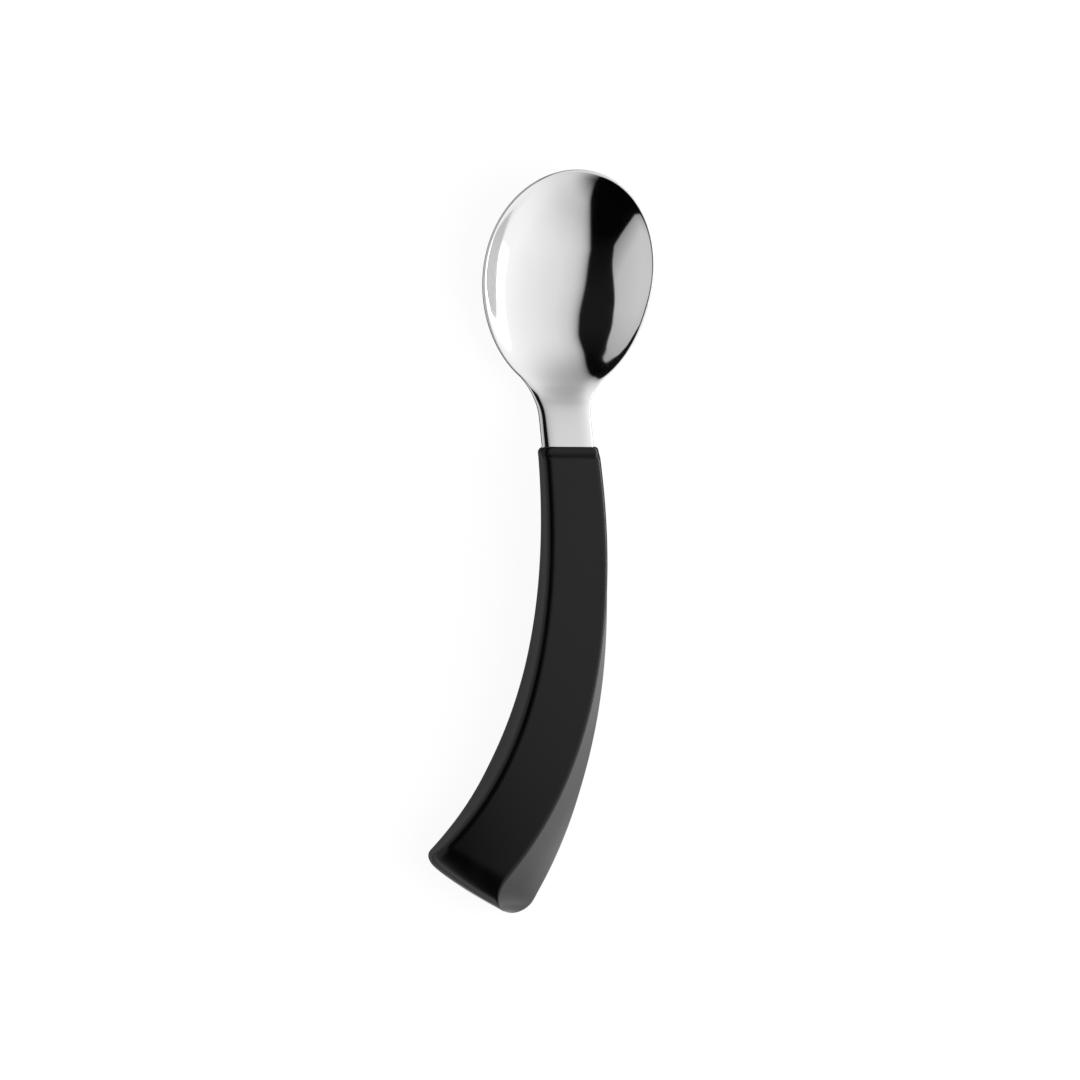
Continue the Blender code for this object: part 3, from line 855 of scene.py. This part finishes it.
def hall_material():
    """Light of the cards by the angle right of upright and the place along the spoon."""
    material, nodes = new_material("studio_cards")
    place = nodes.add("ShaderNodeSeparateXYZ")
    nodes.feed(place.inputs[0], nodes.add("ShaderNodeTexCoord").outputs["Object"])
    x, y, z = place.outputs
    angle = nodes.calc("MULTIPLY", nodes.calc("ARCTAN2", x, z), math.degrees(1.0))

    corner = nodes.calc("MAXIMUM", nodes.calc("SUBTRACT", PANEL_CORNER_Y, y), 0.0)
    bent = nodes.calc("SUBTRACT", angle, nodes.calc("MULTIPLY", corner, PANEL_CORNER_SLANT))
    for wave in PANEL_LIP:
        bent = nodes.calc("ADD", bent, nodes.span(y, *wave, "SMOOTHSTEP"))
    first, last = PANEL_LIGHT[0][0], PANEL_LIGHT[-1][0]
    ramp = nodes.add("ShaderNodeValToRGB")
    nodes.feed(ramp.inputs["Fac"], nodes.span(bent, first, last, 0.0, 1.0))
    stops = ramp.color_ramp.elements
    while len(stops) < len(PANEL_LIGHT):
        stops.new(0.5)
    for stop, (degrees, light) in zip(stops, PANEL_LIGHT):
        stop.position = (degrees - first) / (last - first)
        stop.color = (*[light / PANEL_TOP] * 3, 1.0)
    panel = nodes.calc("MULTIPLY", ramp.outputs["Color"], PANEL_TOP)
    strip = nodes.calc(
        "MULTIPLY",
        nodes.span(angle, *STRIP_LIGHT, "SMOOTHSTEP"),
        nodes.span(y, *STRIP_HEEL_END, "SMOOTHSTEP"),
    )
    panel = nodes.calc("ADD", panel, strip)
    for start, stop, low in (PANEL_FADE_TIP, PANEL_BACK_TIP, PANEL_FADE_HEEL, PANEL_BACK_HEEL):
        panel = nodes.calc("MULTIPLY", panel, nodes.span(y, start, stop, 1.0, low, "SMOOTHSTEP"))

    edge = nodes.span(y, *CARD_EDGE, "SMOOTHSTEP")
    for bulge in (CARD_EDGE_BACK, CARD_EDGE_TIP):
        edge = nodes.calc("ADD", edge, nodes.span(y, *bulge, "SMOOTHSTEP"))
    inside = nodes.calc("SUBTRACT", edge, angle)
    card = nodes.span(inside, -CARD_EDGE_SOFT, CARD_EDGE_SOFT, 0.0, 1.0, "SMOOTHSTEP")
    outward = nodes.calc("MULTIPLY", nodes.calc("SUBTRACT", CARD_INNER_ANGLE, angle), CARD_END_SLANT)
    from_heel = nodes.calc("ADD", nodes.calc("SUBTRACT", y, CARD_HEEL_END), outward)
    from_tip = nodes.calc("ADD", nodes.calc("SUBTRACT", CARD_TIP_END, y), outward)
    for depth in (from_heel, from_tip):
        end = nodes.span(depth, 0.0, CARD_END_SOFT, 0.0, 1.0, "SMOOTHSTEP")
        card = nodes.calc("MULTIPLY", card, end)
    for level, shade in ((angle, CARD_LIGHT), (from_heel, CARD_HEEL_SHADE), (y, CARD_TIP_SHADE)):
        card = nodes.calc("MULTIPLY", card, nodes.span(level, *shade))

    gap = nodes.calc("MULTIPLY", nodes.span(y, *GAP_LIGHT), nodes.span(y, *GAP_FADE_TIP))
    light = nodes.calc("MAXIMUM", nodes.calc("ADD", panel, card), gap)
    glow = nodes.add("ShaderNodeEmission")
    nodes.feed(glow.inputs["Strength"], light)
    nodes.finish(glow)
    return material


def build_hall():
    """Half round hall with closed ends over the spoon."""
    arcs = []
    for y in HALL_ENDS:
        turns = np.linspace(-0.5 * math.pi, 0.5 * math.pi, HALL_SIDES)
        arcs.append([(HALL_RADIUS * math.sin(t), y, HALL_RADIUS * math.cos(t)) for t in turns])
    faces = [(k, k + 1, HALL_SIDES + k + 1, HALL_SIDES + k) for k in range(HALL_SIDES - 1)]
    faces.append(tuple(range(HALL_SIDES)))
    faces.append(tuple(range(HALL_SIDES, 2 * HALL_SIDES)))
    mesh = bpy.data.meshes.new("studio_hall")
    mesh.from_pydata(arcs[0] + arcs[1], [], faces)
    mesh.update()
    hall = add_object("studio_hall", mesh)
    hall.location = Vector(COLLAR_PLACE) * MM
    hall.data.materials.append(hall_material())
    show_in_reflections(hall)
    return hall


def show_in_reflections(card):
    """Hide a card from all but reflections."""
    card.visible_camera = False
    card.visible_diffuse = False
    card.visible_shadow = False


def painted_table_light(x, y):
    """Painted light of the sheet: painted shade along the handle's left wall and the bowl, brighter outwards
    and behind.
    """
    offsets = np.array((x, y)) - AXIS_PLACES
    near = int(np.hypot(*offsets.T).argmin())
    ahead = AXIS_PLACES[min(near + 1, len(AXIS_PLACES) - 1)] - AXIS_PLACES[max(near - 1, 0)]
    ahead /= np.linalg.norm(ahead)
    across = offsets[near] @ (-ahead[1], ahead[0])
    behind = max(0.0, offsets[near] @ ahead)
    inner, outer = PAINTED_SHADE_LEFT_ACROSS
    left = blend(PAINTED_SHADE_LEFT, (-across - inner) / (outer - inner)) + PAINTED_SHADE_BEHIND * behind
    from_foot = x + PAINTED_HIGHLIGHT_FOOT_SLANT * y - PAINTED_HIGHLIGHT_FOOT_X
    right = np.interp(AXIS_RUN[near] + behind, *zip(*PAINTED_LIGHT_RIGHT))
    # Painted highlight on the table beside the handle's foot.
    foot_share = smooth(*PAINTED_HIGHLIGHT_FOOT_REACH, from_foot) * smooth(*PAINTED_HIGHLIGHT_FOOT_BACK, from_foot)
    right *= 1.0 + PAINTED_HIGHLIGHT_FOOT_GAIN * foot_share
    handle_light = blend((left, right), smooth(behind, behind + PAINTED_SHADE_SEAM, across))
    inner, outer = PAINTED_SHADE_BOWL_ACROSS
    from_spine = math.hypot(x, max(0.0, y - BOWL_MIDDLE_Y))
    bowl_light = blend(PAINTED_SHADE_BOWL, (from_spine - inner) / (outer - inner))
    return blend((handle_light, bowl_light), smooth(*PAINTED_SHADE_COLLAR_YS, y))


def painted_table_light_material():
    """Glow of the painted shade and light that the sheet's points carry."""
    material, nodes = new_material("painted_table_shade")
    light = nodes.add("ShaderNodeAttribute", attribute_name="light")
    glow = nodes.add("ShaderNodeEmission")
    nodes.feed(glow.inputs["Strength"], light.outputs["Fac"])
    nodes.finish(glow)
    return material


def build_painted_table_light():
    xs = np.arange(SHADE_SHEET_X[0], SHADE_SHEET_X[1] + SHADE_SHEET_CELL, SHADE_SHEET_CELL)
    ys = np.arange(SHADE_SHEET_Y[0], SHADE_SHEET_Y[1] + SHADE_SHEET_CELL, SHADE_SHEET_CELL)
    faces = []
    for row in range(len(ys) - 1):
        for k in range(row * len(xs), (row + 1) * len(xs) - 1):
            faces.append((k, k + 1, k + 1 + len(xs), k + len(xs)))
    # Glowing sheet just above the table, seen only in reflections, carrying painted shade round the spoon.
    shade_sheet = new_object("painted_table_shade_sheet", [(x, y, -SHADE_SHEET_DROP) for y in ys for x in xs], faces)
    light = shade_sheet.data.attributes.new("light", "FLOAT", "POINT")
    light.data.foreach_set("value", [painted_table_light(x, y) for y in ys for x in xs])
    shade_sheet.data.materials.append(painted_table_light_material())
    show_in_reflections(shade_sheet)
    return shade_sheet


def floor_material():
    """White table: lit white to the eye and in reflections, with the spoon's soft shadow."""
    material, nodes = new_material("white_table")
    clouds = nodes.span(nodes.noise(FLOOR_CLOUDS), *NOISE_RANGE, *FLOOR_GREY)
    white = nodes.add("ShaderNodeBsdfDiffuse")
    nodes.feed(white.inputs["Color"], nodes.grey(clouds))
    glow = nodes.add("ShaderNodeEmission")
    glow.inputs["Strength"].default_value = FLOOR_GLOW
    mix = nodes.add("ShaderNodeMixShader")
    nodes.feed(mix.inputs[0], nodes.calc("MULTIPLY", nodes.seen(), FLOOR_CAMERA_LIGHT))
    nodes.feed(mix.inputs[1], white.outputs[0])
    nodes.feed(mix.inputs[2], glow.outputs[0])
    nodes.finish(mix)
    return material


def build_floor():
    half = 0.5 * FLOOR_SIZE
    corners = [(-half, -half, 0.0), (half, -half, 0.0), (half, half, 0.0), (-half, half, 0.0)]
    mesh = bpy.data.meshes.new("table_top")
    mesh.from_pydata(corners, [], [(0, 1, 2, 3)])
    mesh.update()
    floor = add_object("table_top", mesh)
    floor.location.z = -FLOOR_DROP
    floor.data.materials.append(floor_material())
    return floor


def light_world():
    """White to the eye and in reflections, with a softer level for the light that it gives."""
    world = bpy.data.worlds.new("studio_sky")
    world.use_nodes = True
    nodes = Nodes(world.node_tree)
    sky = nodes.add("ShaderNodeBackground")
    nodes.feed(sky.inputs["Strength"], nodes.span(nodes.seen(), 0.0, 1.0, SKY_DIFFUSE, 1.0))
    nodes.finish(sky, "ShaderNodeOutputWorld")
    bpy.context.scene.world = world


def add_key():
    """Large soft lamp from the upper right; its reflection is the panel of the hall."""
    lamp = bpy.data.lights.new("key_light", "AREA")
    lamp.shape = "RECTANGLE"
    lamp.size, lamp.size_y = KEY_SIZE
    lamp.energy = KEY_POWER
    key = add_object("key_light", lamp)
    key.location = KEY_PLACE
    key.rotation_euler = (-Vector(KEY_PLACE)).to_track_quat("-Z", "Y").to_euler()
    key.visible_glossy = False


def add_camera():
    """Camera placed so that the aimed point of the collar lands on its pixel."""
    back = Vector((-math.tan(CAMERA_LEAN_LEFT), math.tan(CAMERA_LEAN_TIP), 1.0)).normalized()
    upright = Vector((0.0, 1.0, 0.0))
    up = (upright - back * upright.dot(back)).normalized()
    right = up.cross(back)
    turned_right = right * math.cos(CAMERA_ROLL) + up * math.sin(CAMERA_ROLL)
    turned_up = up * math.cos(CAMERA_ROLL) - right * math.sin(CAMERA_ROLL)
    per_pixel = CAMERA_DISTANCE * CAMERA_SENSOR / CAMERA_LENS / IMAGE_SIZE
    sideways = (AIM_PIXEL[0] - 0.5 * IMAGE_SIZE) * per_pixel
    upwards = (0.5 * IMAGE_SIZE - AIM_PIXEL[1]) * per_pixel
    place = Vector(CAMERA_AIM) + back * CAMERA_DISTANCE - turned_right * sideways - turned_up * upwards
    place = (place + Vector(COLLAR_PLACE)) * MM
    data = bpy.data.cameras.new("camera")
    data.lens = CAMERA_LENS
    data.sensor_width = CAMERA_SENSOR
    camera = add_object("camera", data)
    turn = Matrix((turned_right, turned_up, back)).transposed().to_4x4()
    camera.matrix_world = Matrix.Translation(place) @ turn
    bpy.context.scene.camera = camera


def dress(part, node, material):
    """Give a piece its material and its body, and hide the CAD node that it stands for."""
    part.data.materials.clear()
    part.data.materials.append(material)
    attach(part, "root")
    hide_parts(node)


bpy.context.scene.view_settings.view_transform = "Standard"
steel_piece, handle_piece = build_pieces()
dress(steel_piece, "steel_spoon", polished_steel())
dress(handle_piece, "handle", black_plastic())
build_hall()
build_painted_table_light()
build_floor()
light_world()
add_key()
add_camera()
